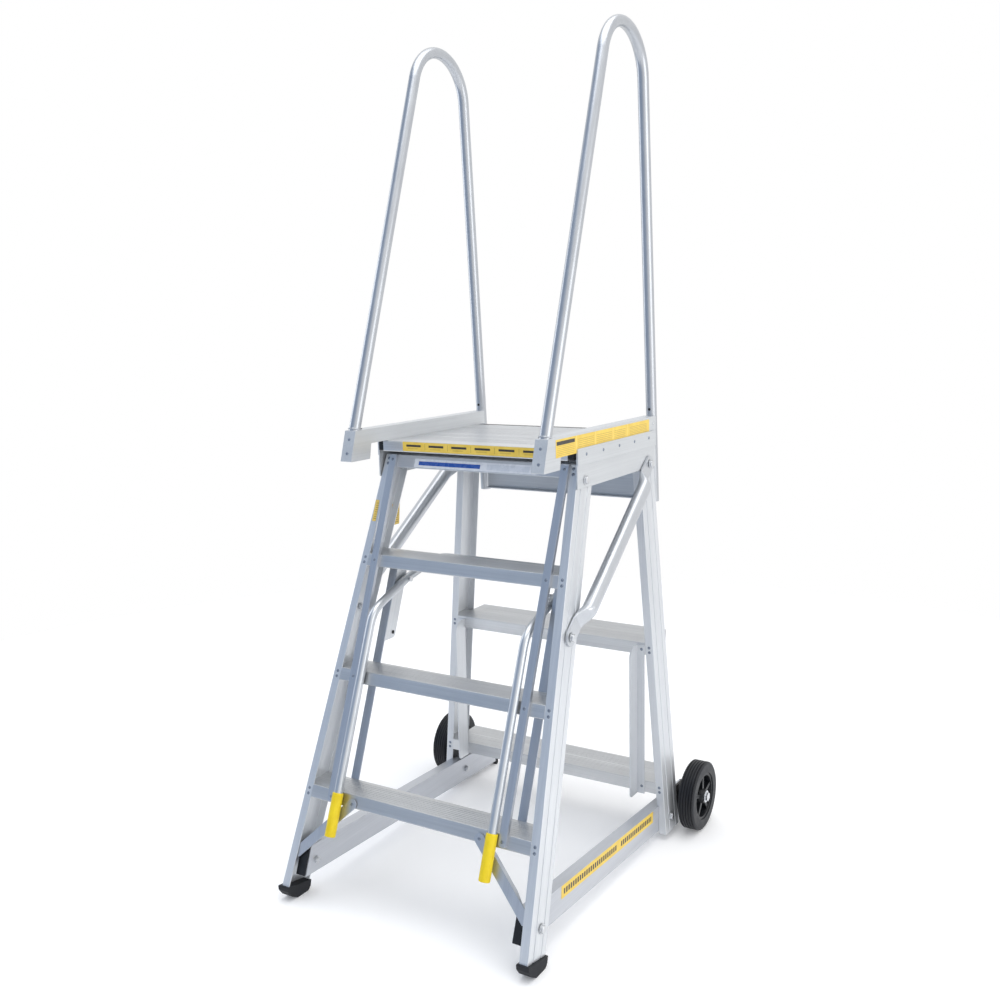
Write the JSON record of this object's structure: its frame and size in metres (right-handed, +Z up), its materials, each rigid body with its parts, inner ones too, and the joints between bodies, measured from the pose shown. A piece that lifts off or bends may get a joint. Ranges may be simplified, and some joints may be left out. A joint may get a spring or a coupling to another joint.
{
  "type": "platform step ladder",
  "caption": "Rolling aluminium platform step ladder with leaning treads, upright rear frame, handrail hoops, rear wheels and a swinging wheelbarrow-style carry handle.",
  "frame": {"origin": "floor point under the middle of the ladder's overall box", "axes": "+X to a climber's right, +Y from the climbing side to the wheel side, +Z up"},
  "size_m": [0.902, 1.0121, 2.2016],
  "materials": {
    "aluminium": "mill finish extrusion",
    "ribbed_aluminium": "mill finish ribbed extrusion",
    "tube_aluminium": "satin drawn tube",
    "rivet_aluminium": "satin",
    "zinc_steel": "zinc plated",
    "black_rubber": "matte",
    "tyre_rubber": "matte",
    "black_plastic": "moulded",
    "black_paint": "black coating",
    "yellow_grip": "moulded vinyl"
  },
  "bodies": {
    "frame": {"axle_bolt_left": "zinc_steel", "axle_bolt_right": "zinc_steel", "base_rail_left": "aluminium", "base_rail_right": "aluminium", "bracket_plugs": "black_plastic", "deck_nosing": "ribbed_aluminium", "deck_plank_1": "ribbed_aluminium", "deck_plank_2": "ribbed_aluminium", "deck_plank_3": "ribbed_aluminium", "deck_plank_4": "ribbed_aluminium", "deck_plank_5": "ribbed_aluminium", "diagonal_brace_left": "tube_aluminium", "diagonal_brace_right": "tube_aluminium", "frame_bolts": "zinc_steel", "frame_rivets": "rivet_aluminium", "front_cross_beam": "ribbed_aluminium", "front_foot_left": "black_rubber", "front_foot_right": "black_rubber", "front_stile_left": "aluminium", "front_stile_right": "aluminium", "front_tread_1": "ribbed_aluminium", "front_tread_2": "ribbed_aluminium", "front_tread_3": "ribbed_aluminium", "handle_bracket_left": "aluminium", "handle_bracket_right": "aluminium", "handle_pivots": "zinc_steel", "handrail_channel_left": "aluminium", "handrail_channel_right": "aluminium", "handrail_hoop_left": "tube_aluminium", "handrail_hoop_right": "tube_aluminium", "knee_brace_left": "aluminium", "knee_brace_right": "aluminium", "nosing_caps": "black_plastic", "rail_end_plugs": "black_plastic", "rear_pads": "black_rubber", "rear_skirt": "aluminium", "rear_stile_left": "aluminium", "rear_stile_right": "aluminium", "rear_strap_left": "aluminium", "rear_strap_right": "aluminium", "rear_tie_left": "aluminium", "rear_tie_right": "aluminium", "rear_tread_lower_back": "ribbed_aluminium", "rear_tread_lower_front": "ribbed_aluminium", "rear_tread_upper_back": "ribbed_aluminium", "rear_tread_upper_front": "ribbed_aluminium", "side_beam_left": "aluminium", "side_beam_right": "aluminium", "skirt_brackets": "aluminium", "tie_strip_left": "aluminium", "tie_strip_right": "aluminium", "wheel_bracket_left": "black_paint", "wheel_bracket_right": "black_paint"},
    "handle": {"carry_handle": "tube_aluminium", "handle_grip_left": "yellow_grip", "handle_grip_right": "yellow_grip"},
    "left_wheel": {"wheel_tyre_left": "tyre_rubber", "wheel_hub_left": "black_plastic"},
    "right_wheel": {"wheel_tyre_right": "tyre_rubber", "wheel_hub_right": "black_plastic"}
  },
  "joints": [
    {"name": "left_wheel_spin", "type": "hinge", "parent": "frame", "child": "left_wheel", "pos_m": [-0.4175, 0.3902, 0.0985], "axis": [1, 0, 0], "continuous": true},
    {"name": "right_wheel_spin", "type": "hinge", "parent": "frame", "child": "right_wheel", "pos_m": [0.4175, 0.3902, 0.0985], "axis": [1, 0, 0], "continuous": true},
    {"name": "handle_swing", "type": "hinge", "parent": "frame", "child": "handle", "pos_m": [0, -0.0993, 0.7743], "axis": [-1, 0, 0], "range_deg": [0, 38]}
  ]
}
